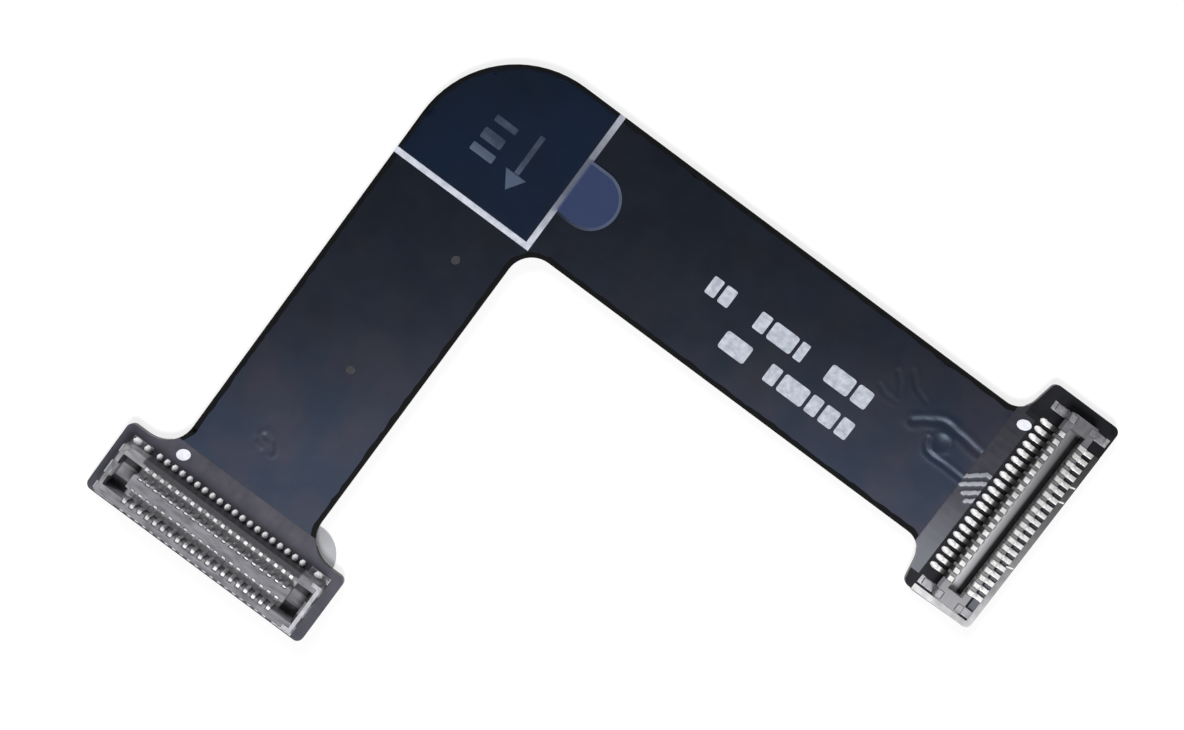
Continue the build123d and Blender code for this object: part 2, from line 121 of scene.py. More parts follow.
# %% [markdown]
# A material is a small graph of nodes. A few helpers keep the graphs short. One starts a Principled
# shader with its plain values. One adds a node and takes either a number or another node's output for
# each input. Two give the place on the piece in real measure, so that a grain has a real size and a
# change of colour starts and ends where the drawing says. The others turn such a share into a colour or
# a number, mix two colours, multiply two shares and stack bumps.

# %% Helpers for materials
def srgb(red, green, blue):
    """A colour as a screen gives it, 0 to 255, as the light values that a shader takes."""
    shares = [value / 255 for value in (red, green, blue)]
    return tuple(s / 12.92 if s <= 0.04045 else ((s + 0.055) / 1.055) ** 2.4 for s in shares)


def principled(name, colour, roughness, **inputs):
    """A material and its Principled shader, with the plain values of its sockets."""
    material = bpy.data.materials.new(name)
    material.use_nodes = True
    shader = material.node_tree.nodes["Principled BSDF"]
    shader.inputs["Base Color"].default_value = (*colour, 1)
    shader.inputs["Roughness"].default_value = roughness
    for socket, value in inputs.items():
        shader.inputs[socket.replace("_", " ")].default_value = value
    return material, shader


def add(material, kind, inputs=(), **settings):
    """A new node, with each input set to a value or joined to another node's output."""
    made = material.node_tree.nodes.new(kind)
    for name, value in settings.items():
        setattr(made, name, value)
    for name, value in dict(inputs).items():
        if isinstance(value, bpy.types.NodeSocket):
            material.node_tree.links.new(value, made.inputs[name])
        else:
            made.inputs[name].default_value = value
    return made


def join(output, target):
    """Joins a node's output to the input of another."""
    target.id_data.links.new(output, target)


def cloud(material, size, detail=2.0, stretch=(1, 1, 1)):
    """Soft noise whose patches are about so many millimetres across, or longer along an axis."""
    where = add(material, "ShaderNodeTexCoord").outputs["Object"]
    mapping = add(material, "ShaderNodeMapping", {"Vector": where, "Scale": stretch})
    inputs = {"Vector": mapping.outputs["Vector"], "Scale": 1 / (size * MM), "Detail": detail}
    return add(material, "ShaderNodeTexNoise", inputs).outputs["Fac"]


def between(material, start, stop):
    """A share that is 0 at one place of the drawing and grows to 1 at another."""
    where = add(material, "ShaderNodeTexCoord").outputs["Object"]
    first, last = spot(*start), spot(*stop)
    way = (last - first) / (last - first).length_squared
    offset = add(material, "ShaderNodeVectorMath", {0: where, 1: first}, operation="SUBTRACT")
    share = add(material, "ShaderNodeVectorMath", {0: offset.outputs[0], 1: way}, operation="DOT_PRODUCT")
    return add(material, "ShaderNodeMapRange", {0: share.outputs["Value"]}).outputs[0]


def ramp(material, value, stops):
    """Turns a value into a colour or a number by a few stops."""
    made = add(material, "ShaderNodeValToRGB", {"Fac": value})
    points = made.color_ramp.elements
    while len(points) < len(stops):
        points.new(0.5)
    for point, (position, colour) in zip(points, stops):
        point.position = position
        point.color = (*colour, 1) if isinstance(colour, tuple) else (colour, colour, colour, 1)
    return made.outputs["Color"]


def drift(material, size, low, high, stretch=(1, 1, 1)):
    """A number or a colour that drifts between two, in patches of so many millimetres."""
    return ramp(material, cloud(material, size, stretch=stretch), [(0.3, low), (0.7, high)])


def blend(material, share, first, second):
    """The first colour where the share is 0 and the second where it is 1."""
    ends = [(*colour, 1) if isinstance(colour, tuple) else colour for colour in (first, second)]
    made = add(material, "ShaderNodeMix", {0: share, 6: ends[0], 7: ends[1]}, data_type="RGBA")
    return made.outputs[2]


def product(material, first, second):
    """One share times another."""
    return add(material, "ShaderNodeMath", {0: first, 1: second}, operation="MULTIPLY").outputs[0]


def bumps(material, shader, *layers):
    """Stacks soft bumps, each by the size of its patches and its depth in millimetres."""
    normal = None
    for size, depth in layers:
        made = add(material, "ShaderNodeBump", {"Height": cloud(material, size), "Distance": depth * MM})
        if normal is not None:
            join(normal, made.inputs["Normal"])
        normal = made.outputs["Normal"]
    join(normal, shader.inputs["Normal"])


# %% [markdown]
# The front of the cable is a black shielding film. Up close it is satin, not gloss: it has a fine grain
# from the press pad that laminated it, and its black drifts between blue and plum. A flat black would
# look like a hole in the picture, so colour, roughness and bump each get a pattern of their own, at
# their own scale. Its sheen is a little blue, which the specular tint gives. Towards the connectors its
# colour is painted paler, a painted sheen that stands in for the lamp's glare on the satin. Along the die
# cut the film is pressed down smooth, reflects less and stays black.

# %% Satin shielding film
FILM_BLUE = (0.0006, 0.0018, 0.0062)
FILM_PLUM = (0.0026, 0.0022, 0.0054)
GLARE_BLUE = (0.022, 0.030, 0.053)
GLARE_PLUM = (0.039, 0.036, 0.054)
GLARE_FROM = (4.3, 6.7)
GLARE_TO = (10.3, 16.0)
MARGIN_BLUE = (0.0006, 0.0009, 0.0016)
MARGIN_PLUM = (0.0024, 0.0024, 0.0034)


def satin_film():
    material, shader = principled(
        "satin_film", (0.006, 0.008, 0.013), 0.4,
        Specular_Tint=(0.66, 0.79, 1.0, 1), Specular_IOR_Level=0.46,
    )
    patches = cloud(material, 2.2, 4.0)
    film_tint = ramp(material, patches, [(0.38, FILM_BLUE), (0.62, FILM_PLUM)])
    # Painted sheen: the film is painted paler along this way, towards the connectors, for the lamp's glare.
    glare_tint = ramp(material, patches, [(0.38, GLARE_BLUE), (0.62, GLARE_PLUM)])
    way = between(material, GLARE_FROM, GLARE_TO)
    share = ramp(material, way, [(0, 0.0), (0.45, 0.16), (1, 1.0)])
    join(blend(material, share, film_tint, glare_tint), shader.inputs["Base Color"])
    join(drift(material, 1.2, 0.33, 0.37), shader.inputs["Roughness"])
    bumps(material, shader, (0.06, 0.0008), (0.9, 0.003))
    return material


def margin_film():
    material, shader = principled("margin_film", (0.002, 0.002, 0.003), 0.5, Specular_IOR_Level=0.12)
    join(drift(material, 0.5, MARGIN_BLUE, MARGIN_PLUM), shader.inputs["Base Color"])
    bumps(material, shader, (0.12, 0.0012))
    return material


film_finish = satin_film()
margin_finish = margin_film()

# %% [markdown]
# Where the film stops short of the connectors, the bare coverlay shows. It is the same black polyimide
# family, but paler, because the copper below lightens it. Beside the header it is painted darkest at the
# upper end and palest towards the lower right, painted shade and painted glare that follow the lamp. Over
# a raised trace it is thinnest, and its crest is painted pale, a painted highlight. On the header's
# wing there is no copper behind it, so there it is nearly black.

# %% Bare coverlay
def coverlay(name, dark, light, roughness):
    material, shader = principled(name, light, roughness, Specular_Tint=(0.86, 0.88, 1.0, 1))
    tint = drift(material, 0.9, dark, light)
    join(tint, shader.inputs["Base Color"])
    join(drift(material, 0.4, roughness - 0.06, roughness + 0.08), shader.inputs["Roughness"])
    bumps(material, shader, (0.08, 0.001))
    return material, shader, tint


coverlay_finish, bare_shader, bare_tint = coverlay(
    "bare_coverlay", (0.037, 0.036, 0.048), (0.061, 0.057, 0.076), 0.42,
)
# Painted shade towards the upper end, and a painted glare patch towards the lower right.
upwards = between(coverlay_finish, (28, 7.6), (28, 0.6))
top_shade_share = ramp(coverlay_finish, upwards, [(0, 0.0), (1, 0.95)])
top_shade_colour = (0.014, 0.0135, 0.019)
shaded_top = blend(coverlay_finish, top_shade_share, bare_tint, top_shade_colour)
rightwards = between(coverlay_finish, (20, 8), (26, 8))
downwards = between(coverlay_finish, (28, 4.2), (28, 7.2))
glare_share = product(coverlay_finish, rightwards, downwards)
glare_patch = (0.15, 0.155, 0.178)
patched = blend(coverlay_finish, glare_share, shaded_top, glare_patch)
join(patched, bare_shader.inputs["Base Color"])
# Painted highlight: the crest of a bright trace takes a much paler colour.
trace_crest_highlight, _, _ = coverlay("painted_highlight_on_trace", (0.20, 0.205, 0.24), (0.42, 0.43, 0.48), 0.34)
wing_finish, wing_shader, _ = coverlay(
    "coverlay_on_header_wing", (0.0016, 0.0018, 0.0024), (0.0060, 0.0060, 0.0075), 0.42,
)
wing_shader.inputs["Specular IOR Level"].default_value = 0.3

# %% [markdown]
# The housings are moulded in a glass-filled liquid crystal polymer. It comes out of the tool grey and
# matt, mottled by the fibres, with a streak along the way the melt ran. The header is painted paler
# towards its lower end, a painted glare where the lamp's reflection is strongest, and the tub is painted
# paler at its left end, so their colours are blended along the drawing.

# %% Moulded housing
PAINTED_PALE_END = srgb(192, 192, 196)


def moulded_housing(name, stretch, dark, light, start, stop, painted_paler_end):
    """Mottled plastic that is painted paler from one place of the drawing to another."""
    material, shader = principled(name, light, 0.55)
    tint = drift(material, 0.22, dark, light, stretch)
    share = ramp(material, between(material, start, stop), [(0, 0.0), (0.6, 0.1), (1, painted_paler_end)])
    colour = blend(material, share, tint, PAINTED_PALE_END)
    join(colour, shader.inputs["Base Color"])
    join(drift(material, 0.2, 0.48, 0.64), shader.inputs["Roughness"])
    bumps(material, shader, (0.06, 0.003))
    return material, shader, colour


tub_plastic, tub_shader, tub_colour = moulded_housing(
    "tub_plastic", (0.3, 1, 1), srgb(96, 95, 101), srgb(138, 137, 143), (0, 25), (-2.0, 25), 0.7,
)
plug_plastic, plug_shader, plug_colour = moulded_housing(
    "plug_plastic", (1, 0.3, 1), srgb(92, 91, 95), srgb(116, 115, 119), (30, 0.5), (30, 8.3), 0.5,
)
plug_shader.inputs["Specular IOR Level"].default_value = 0.2

# %% [markdown]
# Down in the tub's two channels the moulding is painted much paler than its top face, painted light that
# stands in for the light the deep channels lose. It is painted dark at their ends, past the last contacts,
# and along the wall beside the tails, painted shade in those pockets and beside the tails' slots. One
# share across the tub finds both channels, and one along it finds their ends.

# %% Painted light and shade in the tub's channels
TUB_MIDDLE = 24.83
CHANNEL_NEAR = 0.30
CHANNEL_FAR = 0.80
CHANNEL_ENDS = (-0.72, 7.58)
CHANNEL_SPAN = 2 * CHANNEL_FAR
WALL_BAND = (23.56, 23.96)
near_share = 0.5 - CHANNEL_NEAR / CHANNEL_SPAN
across_tub = between(tub_plastic, (0, TUB_MIDDLE - CHANNEL_FAR), (0, TUB_MIDDLE + CHANNEL_FAR))
in_channel = ramp(tub_plastic, across_tub, [
    (0.0, 0.0), (0.02, 1.0), (near_share - 0.02, 1.0), (near_share, 0.0),
    (1 - near_share, 0.0), (1.02 - near_share, 1.0), (0.98, 1.0), (1.0, 0.0),
])
along_tub = between(tub_plastic, (CHANNEL_ENDS[0], TUB_MIDDLE), (CHANNEL_ENDS[1], TUB_MIDDLE))
by_contacts = ramp(tub_plastic, along_tub, [(0.0, 0.0), (0.01, 1.0), (0.99, 1.0), (1.0, 0.0)])
# Painted light in the channels, painted shade at their ends and along the wall band.
channel_fill_light = srgb(228, 228, 232)
channel_end_shade = srgb(46, 46, 50)
wall_band_shade = srgb(50, 50, 55)
channel_colour = blend(tub_plastic, by_contacts, channel_end_shade, channel_fill_light)
beside_tails = between(tub_plastic, (0, WALL_BAND[0]), (0, WALL_BAND[1]))
band_share = ramp(tub_plastic, beside_tails, [(0.0, 1.0), (0.7, 1.0), (0.9, 0.0)])
walls = blend(tub_plastic, product(tub_plastic, band_share, by_contacts), tub_colour, wall_band_shade)
whole_tub = blend(tub_plastic, in_channel, walls, channel_colour)
join(whole_tub, tub_shader.inputs["Base Color"])

# %% [markdown]
# Between the header's ridges the floor is painted pale, paler towards the lower end, painted light that
# stands in for the light the groove loses, and a dark line is painted along the outer ridge, a painted
# shadow of that ridge. Two shares, one across the groove and one along it, place them.

# %% Floor of the header's groove
GROOVE = (29.71, 30.39)
GROOVE_DOWN = (-0.65, 7.75)
across_groove = between(plug_plastic, (GROOVE[0], 0), (GROOVE[1], 0))
across = ramp(plug_plastic, across_groove, [(0, 0.0), (0.02, 1.0), (0.98, 1.0), (1, 0.0)])
# Painted shadow of the outer ridge along the groove floor.
ridge_shadow = ramp(plug_plastic, across_groove, [(0.2, 0.0), (0.5, 0.45), (0.68, 1.0)])
along_groove = between(plug_plastic, (30, GROOVE_DOWN[0]), (30, GROOVE_DOWN[1]))
lengthwise = ramp(plug_plastic, along_groove, [(0, 0.0), (0.01, 1.0), (0.99, 1.0), (1, 0.0)])
floor_light_upper = srgb(142, 141, 145)
floor_light_lower = srgb(216, 216, 219)
ridge_shadow_colour = (0.003, 0.003, 0.004)
painted_floor_light = blend(plug_plastic, between(plug_plastic, (30, 0.5), (30, 6.6)), floor_light_upper, floor_light_lower)
floor_colour = blend(plug_plastic, ridge_shadow, painted_floor_light, ridge_shadow_colour)
in_groove = product(plug_plastic, across, lengthwise)
groove_colour = blend(plug_plastic, in_groove, plug_colour, floor_colour)
join(groove_colour, plug_shader.inputs["Base Color"])

# %% [markdown]
# Metal shows its finish by how far it blurs what it reflects. The contacts are stamped strip with bright
# plating, brighter on the plug. The nails are greyer, and the tinned lands are duller and pitted. The left
# and the upper nail take a darker, rougher copy of the nail metal; on the upper nail it is painted shade,
# at the header's dim upper end.

# %% Plated and tinned metal
def plated(name, dark, light, rough_low, rough_high, grain_depth):
    material, shader = principled(name, light, rough_low, Metallic=1.0)
    tint = drift(material, 0.3, dark, light)
    join(tint, shader.inputs["Base Color"])
    join(drift(material, 0.12, rough_low, rough_high), shader.inputs["Roughness"])
    bumps(material, shader, (0.08, grain_depth))
    return material, shader, tint


contact_metal, contact_shader, contact_tint = plated(
    "contact_metal", (0.66, 0.655, 0.645), (0.92, 0.915, 0.905), 0.34, 0.44, 0.001,
)
spring_metal, spring_shader, spring_tint = plated(
    "spring_metal", (0.54, 0.54, 0.55), (0.76, 0.76, 0.77), 0.38, 0.5, 0.001,
)
nail_metal, _, _ = plated("nail_metal", (0.27, 0.27, 0.29), (0.38, 0.38, 0.41), 0.38, 0.5, 0.001)
# A darker copy of the nail metal; on the upper nail it is painted shade.
darker_nail_metal, _, _ = plated("darker_nail_metal", (0.16, 0.16, 0.17), (0.34, 0.34, 0.36), 0.42, 0.6, 0.002)
land_metal, _, _ = plated("land_metal", (0.34, 0.34, 0.35), (0.56, 0.56, 0.58), 0.36, 0.52, 0.002)

# %% [markdown]
# The contacts are painted dark at the foot of the wall, on the side of the cable, a painted shade where
# the wall shadows them. It is painted in both connectors, each in its own band across the row.

# %% Painted shade at the foot of the contacts
FOOT_SHADE = (0.03, 0.03, 0.031)


def dark_foot(material, shader, tint, start, stop):
    """Darkens the contacts between two places of the drawing."""
    across_band = between(material, start, stop)
    share = ramp(material, across_band, [(0.05, 0.0), (0.3, 0.9), (0.8, 0.9), (0.95, 0.0)])
    join(blend(material, share, tint, FOOT_SHADE), shader.inputs["Base Color"])


# Painted shade at the foot of each row.
dark_foot(contact_metal, contact_shader, contact_tint, (29.03, 0), (29.45, 0))
dark_foot(spring_metal, spring_shader, spring_tint, (0, 23.5), (0, 23.95))

# %% [markdown]
# Fresh solder is whiter than plating: its frozen skin scatters light as well as mirroring it. So it is
# only part metal, nearly white and rather rough. The drops at the receptacle's tails lie in the housing's
# shadow, so they take a whiter copy with no metal in it, painted light that stands in for the lamp they miss.

# %% Solder
BRIGHT_SOLDER = (0.97, 0.97, 0.98)


def solder(name, metal_share, dark):
    material, shader = principled(name, (0.86, 0.86, 0.88), 0.45, Metallic=metal_share)
    join(drift(material, 0.2, dark, BRIGHT_SOLDER), shader.inputs["Base Color"])
    join(drift(material, 0.1, 0.38, 0.55), shader.inputs["Roughness"])
    bumps(material, shader, (0.08, 0.002))
    return material


solder_metal = solder("solder_metal", 0.2, (0.84, 0.84, 0.85))
# Painted light: a whiter, non-metal copy for the drops in the tub's shadow.
brightened_solder = solder("brightened_solder", 0.0, (0.94, 0.94, 0.95))

# %% [markdown]
# The stiffener behind each wing is a dark glass-epoxy sheet, and the adhesive is a milky tape. Both hide
# behind the cable, but they show at its edge and from below, through the clear liners. A release liner is
# a clear film with a little haze, so its alpha is less than one and drifts, and its own colour is what
# the haze looks like.

# %% Stiffener, adhesive and liners
def glass_epoxy():
    material, shader = principled("glass_epoxy", (0.05, 0.045, 0.04), 0.45)
    weave = drift(material, 0.15, (0.026, 0.024, 0.022), (0.044, 0.040, 0.036), stretch=(1, 0.2, 1))
    join(weave, shader.inputs["Base Color"])
    bumps(material, shader, (0.15, 0.002))
    return material


def hazy_film(name, colour, roughness, haze_low, haze_high, patch):
    """A clear film whose haze drifts between two shares, in patches of so many millimetres."""
    material, shader = principled(name, colour, roughness)
    haze = drift(material, patch, haze_low, haze_high)
    join(haze, shader.inputs["Alpha"])
    bumps(material, shader, (0.5, 0.003), (0.08, 0.0006))
    return material, shader, haze


board = glass_epoxy()
tape = hazy_film("milky_tape", (0.42, 0.43, 0.46), 0.5, 0.55, 0.75, 0.6)[0]
clear_film = hazy_film("clear_release_film", (0.42, 0.43, 0.47), 0.3, 0.5, 0.62, 0.8)[0]
clear_bond, bond_shader, _ = hazy_film("clear_bond", (0.004, 0.014, 0.034), 0.4, 0.08, 0.2, 1.6)
bond_shader.inputs["Specular IOR Level"].default_value = 0.2
blue_film = hazy_film("blue_release_film", (0.05, 0.075, 0.19), 0.3, 0.40, 0.46, 1.5)[0]
blue_rim_highlight, rim_shader, rim_haze = hazy_film("blue_release_rim_highlight", (0.10, 0.13, 0.21), 0.3, 0.55, 0.7, 0.5)
# Painted highlight: the tab's rim grows paler towards its lit side.
across_tab = between(blue_rim_highlight, (7.4, 5.2), (8.6, 3.6))
lit_side = ramp(blue_rim_highlight, across_tab, [(0, 0.04), (0.5, 0.5), (1, 1.0)])
join(product(blue_rim_highlight, rim_haze, lit_side), rim_shader.inputs["Alpha"])

# %% [markdown]
# Over the corner the blue liner lies flat on its adhesive with no air under it, and there it is all but
# invisible. Only its free tab shows its colour. So the flat part takes a second finish with less haze,
# least of all at the outer corner.

# %% Flat part of the blue liner
flat_blue, flat_shader, flat_haze = hazy_film(
    "blue_film_on_adhesive", (0.004, 0.028, 0.09), 0.36, 0.07, 0.12, 1.5,
)
flat_shader.inputs["Specular IOR Level"].default_value = 0.3
from_corner = between(flat_blue, (0.6, 0.6), (3.8, 3.8))
inwards = ramp(flat_blue, from_corner, [(0, 0.25), (0.4, 0.4), (1, 1.0)])
join(product(flat_blue, flat_haze, inwards), flat_shader.inputs["Alpha"])

# %% [markdown]
# Printing ink is opaque pigment in a thin coat: white, quite matt, a touch uneven, and raised by a few
# thousandths of a millimetre. The locating line beside the liner's tab is worn, most of all halfway down,
# and full where the two lines meet, so its colour follows the drawing downwards. The arrow lies under the
# blue liner and is seen through it, so its ink is darker, and its head is less so.

# %% Inks
def ink(name, thin, full, size):
    material, shader = principled(name, full, 0.55)
    tint = drift(material, size, thin, full)
    join(tint, shader.inputs["Base Color"])
    bumps(material, shader, (0.07, 0.002))
    return material, shader, tint


white_ink, _, _ = ink("white_ink", srgb(160, 166, 178), srgb(198, 203, 215), 0.25)
buried_ink, buried_shader, buried_tint = ink("buried_ink", srgb(42, 52, 66), srgb(68, 80, 98), 0.35)
brighter = between(buried_ink, (4.7, 4.0), (4.7, 5.0))
head_colour = srgb(108, 124, 146)
arrow_colour = blend(buried_ink, brighter, buried_tint, head_colour)
join(arrow_colour, buried_shader.inputs["Base Color"])
dot_ink, _, _ = ink("dot_ink", srgb(220, 222, 232), srgb(238, 239, 248), 0.2)
dust, _, _ = ink("dust", srgb(60, 62, 72), srgb(104, 106, 118), 0.2)
faint_dust, _, _ = ink("faint_dust", srgb(30, 29, 36), srgb(44, 43, 50), 0.2)
line_ink, line_shader, line_tint = ink("line_ink", srgb(178, 183, 197), srgb(210, 214, 227), 0.3)
down_the_line = between(line_ink, (6.9, 0), (6.9, 6.6))
wear = ramp(line_ink, down_the_line, [(0, 0.36), (0.2, 0.76), (0.42, 0.9), (0.62, 0.9), (0.8, 0.5), (1, 0.0)])
worn_colour = srgb(86, 92, 106)
join(blend(line_ink, wear, line_tint, worn_colour), line_shader.inputs["Base Color"])

# %% [markdown]
# Every new piece is made the same way at the end: its mesh becomes an object at the origin, rides on the
# body, and takes its finishes. Curved parts are shaded smooth, and an edge that turns by more than 30
# degrees stays crisp.

# %% Helpers for pieces
CRISP_ANGLE = 30
FLAT_ANGLE = 0.5
JOIN_DISTANCE = 1e-7
LEVEL_TOLERANCE = 1e-6
CUT_TOLERANCE = 1e-9


def piece(name, shape, finishes, replaces=(), smooth=False):
    """Turns a finished bmesh into a piece of the cable."""
    bmesh.ops.recalc_face_normals(shape, faces=shape.faces)
    mesh = bpy.data.meshes.new(name)
    shape.to_mesh(mesh)
    shape.free()
    for finish in finishes:
        mesh.materials.append(finish)
    for face in mesh.polygons:
        face.use_smooth = smooth
    if smooth:
        mesh.set_sharp_from_angle(angle=radians(CRISP_ANGLE))
    made = bpy.data.objects.new(name, mesh)
    bpy.context.collection.objects.link(made)
    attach(made, "root")
    for node in replaces:
        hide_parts(node)
    print(name, "faces:", len(mesh.polygons))


def everything(shape):
    return shape.verts[:] + shape.edges[:] + shape.faces[:]


def connected_copy(node):
    """A copy of a solid's mesh with the corners of its triangles joined."""
    shape = bmesh.new()
    shape.from_mesh(nodes[node].data)
    bmesh.ops.remove_doubles(shape, verts=shape.verts, dist=JOIN_DISTANCE)
    return shape


def merge_flat_faces(shape):
    """Dissolves every edge that lies inside a flat face."""
    bmesh.ops.dissolve_limit(
        shape, angle_limit=radians(FLAT_ANGLE), verts=shape.verts, edges=shape.edges,
    )


# %% [markdown]
# A moulding or a stamping has no perfectly sharp edge, and the thin bright line that light draws along
# each edge is most of what makes a small part look real. So the solids are copied, merged, and every
# edge that turns is bevelled by a hundredth of a millimetre or so. The copy then stands for the solid.

# %% Edges that catch the light
TURNING_ANGLE = 20
HOUSING_EDGE = 0.012
SPRING_EDGE = 0.012
PLUG_CONTACT_EDGE = 0.014
NAIL_EDGE = 0.015
LAND_EDGE = 0.008


def softened(name, node, finish, width, segments=2):
    """A copy of a CAD piece with its edges rounded off, in place of it."""
    shape = connected_copy(node)
    merge_flat_faces(shape)
    turning = [e for e in shape.edges if e.is_manifold and e.calc_face_angle() > radians(TURNING_ANGLE)]
    bmesh.ops.bevel(
        shape, geom=turning, offset=width * MM, offset_type="OFFSET", segments=segments,
        profile=0.5, affect="EDGES", clamp_overlap=True, material=-1,
    )
    piece(name, shape, [finish], [node])


softened("tub_housing", "receptacle_housing", tub_plastic, HOUSING_EDGE, 1)
softened("plug_housing", "header_housing", plug_plastic, HOUSING_EDGE, 1)
for side in ("cable_side", "outer_side"):
    spring_node = "receptacle_contacts_" + side
    plug_node = "header_contacts_" + side
    softened("spring_contacts_" + side, spring_node, spring_metal, SPRING_EDGE)
    softened("plug_contacts_" + side, plug_node, contact_metal, PLUG_CONTACT_EDGE)
softened("tub_nail_left", "receptacle_nail_left", darker_nail_metal, NAIL_EDGE)
softened("tub_nail_right", "receptacle_nail_right", nail_metal, NAIL_EDGE)
softened("plug_nail_upper", "header_nail_upper", darker_nail_metal, NAIL_EDGE)
softened("plug_nail_lower", "header_nail_lower", nail_metal, NAIL_EDGE)
softened("tub_lands", "receptacle_pads", land_metal, LAND_EDGE, 1)
softened("plug_lands", "header_pads", land_metal, LAND_EDGE, 1)

# %% [markdown]
# The two sheets that fill the picture, the film and the circuit under it, are modelled whole. Each
# outline comes from the underside of its solid. It is cut into squares, small ones only where there is
# relief, and the squares are then pushed up and down by a formula before the sheet gets its thickness.

# %% Outline of a sheet, cut into squares
def sheet_outline(node, level, height):
    """The outline of a sheet's solid at one level, as a flat face at another height."""
    shape = connected_copy(node)
    elsewhere = [f for f in shape.faces if any(abs(v.co.z - level) > LEVEL_TOLERANCE for v in f.verts)]
    bmesh.ops.delete(shape, geom=elsewhere, context="FACES")
    merge_flat_faces(shape)
    for vert in shape.verts:
        vert.co.z = height
    return shape


def trimmed(shape, at, normal):
    """Cuts a shape with a plane and drops what lies on the side that the normal points to."""
    bmesh.ops.bisect_plane(
        shape, geom=everything(shape), plane_co=at, plane_no=normal, dist=CUT_TOLERANCE, clear_outer=True,
    )


def cut_into_squares(shape, step, window):
    """Cuts the faces inside a window of the drawing, in millimetres, every so many millimetres."""
    right, down, far_right, far_down = window
    upright_cuts = (right, far_right, Vector((1, 0, 0)))
    level_cuts = (down, far_down, Vector((0, 1, 0)))
    for start, stop, normal in (upright_cuts, level_cuts):
        for cut in range(1, round((stop - start) / step)):
            at = start + cut * step
            plane_at = spot(at, at)
            inside = []
            for face in shape.faces:
                x, y = on_sheet(face.calc_center_median())
                if right <= x <= far_right and down <= y <= far_down:
                    inside.append(face)
            edges = {e for f in inside for e in f.edges}
            verts = {v for f in inside for v in f.verts}
            bmesh.ops.bisect_plane(
                shape, geom=[*verts, *edges, *inside], plane_co=plane_at, plane_no=normal, dist=CUT_TOLERANCE,
            )


def edged(shape, width):
    """Insets a sheet from its whole edge, and gives back the faces of the ring that this makes."""
    made = bmesh.ops.inset_region(
        shape, faces=shape.faces[:], thickness=width * MM, use_boundary=True, use_even_offset=True,
    )
    return set(made["faces"])


def thickened(shape, bottom):
    """Gives a sheet its thickness, down to a flat underside."""
    made = bmesh.ops.extrude_face_region(shape, geom=shape.faces[:])
    for part in made["geom"]:
        if isinstance(part, bmesh.types.BMVert):
            part.co.z = bottom


WHOLE = (-3, -3, wing_right + 1, wing_down + 1)

# %% [markdown]
# The relief is a list of creases. Each is a bent line on the drawing with a depth and a width: the two
# clearance lines in the copper round the pressed-in via, the swirls where the film was handled, and the
# small hooked mark near the receptacle. A negative depth is a ridge. Beside a crease the film stands a
# little proud, and no crease goes deeper than the film is thick.

# %% Creases in the film
VIA = (25.87, 3.02)
CREASES = [
    ([(24.35, 3.0), (24.76, 2.66), (25.45, 2.26), (26.4, 2.30), (27.1, 2.40), (28.2, 2.42)], 0.021, 0.14),
    ([(25.2, 2.35), (25.7, 2.25)], 0.008, 0.16),
    ([(27.6, 2.42), (28.2, 2.42)], 0.010, 0.12),
    ([(25.3, 3.2), (25.38, 3.45), (25.58, 3.66), (25.9, 3.72), (26.5, 3.69), (27.6, 3.72)], 0.019, 0.10),
    ([(22.6, 1.7), (23.0, 2.05), (23.2, 2.5)], 0.007, 0.11),
    ([(23.1, 1.3), (23.6, 1.8), (24.3, 2.05)], 0.005, 0.10),
    ([(22.3, 2.6), (22.7, 2.8), (23.3, 2.75)], 0.005, 0.10),
    ([(2.72, 19.98), (3.08, 20.06), (3.32, 20.38)], 0.016, 0.12),
    ([(2.62, 20.42), (2.88, 20.50)], -0.009, 0.11),
]
RELIEF_WINDOWS = ((22.0, 1.0, film_end_right, 4.6), (2.2, 19.6, 3.9, 21.2))
SHOULDER_SHARE = 0.5
SHOULDER_PLACE = 1.8
VIA_RIM = (0.42, 0.018, 0.12)
VIA_DENT = (0.026, 0.24)
UNEVEN_SHARE = 0.5
UNEVEN_SIZE = 0.5
DEEPEST = 0.026


def along(point, line):
    """How far a point is from a bent line."""
    distances = []
    for start, stop in zip(line, line[1:]):
        run, fall = stop[0] - start[0], stop[1] - start[1]
        right, down = point[0] - start[0], point[1] - start[1]
        share = min(1, max(0, (right * run + down * fall) / hypot(run, fall) ** 2))
        distances.append(hypot(right - share * run, down - share * fall))
    return min(distances)


def hump(distance, width):
    """A smooth hill that is 1 in its middle."""
    return exp(-((distance / width) ** 2))


def film_relief(right, down):
    """How far the film's surface is above or below its level, in millimetres."""
    height = 0.0
    for line, depth, width in CREASES:
        away = along((right, down), line)
        shoulder = hump(away - SHOULDER_PLACE * width, width)
        height += depth * (SHOULDER_SHARE * shoulder - hump(away, width))
    from_via = hypot(right - VIA[0], down - VIA[1])
    rim_place, rim_height, rim_width = VIA_RIM
    dent_depth, dent_width = VIA_DENT
    height += rim_height * hump(from_via - rim_place, rim_width) - dent_depth * hump(from_via, dent_width)
    uneven = 1 + UNEVEN_SHARE * noise.noise(Vector((right, down, 0)) / UNEVEN_SIZE)
    return max(-DEEPEST, height * uneven)


# %% [markdown]
# The die that cuts the cable out leaves a narrow margin with no copper under it, along both arms. An
# inset of the outline marks it off, and its inner edge wanders a little. The sheet is trimmed a bit past
# the film's ends first, so that the ends themselves keep no margin once the true cuts are made.

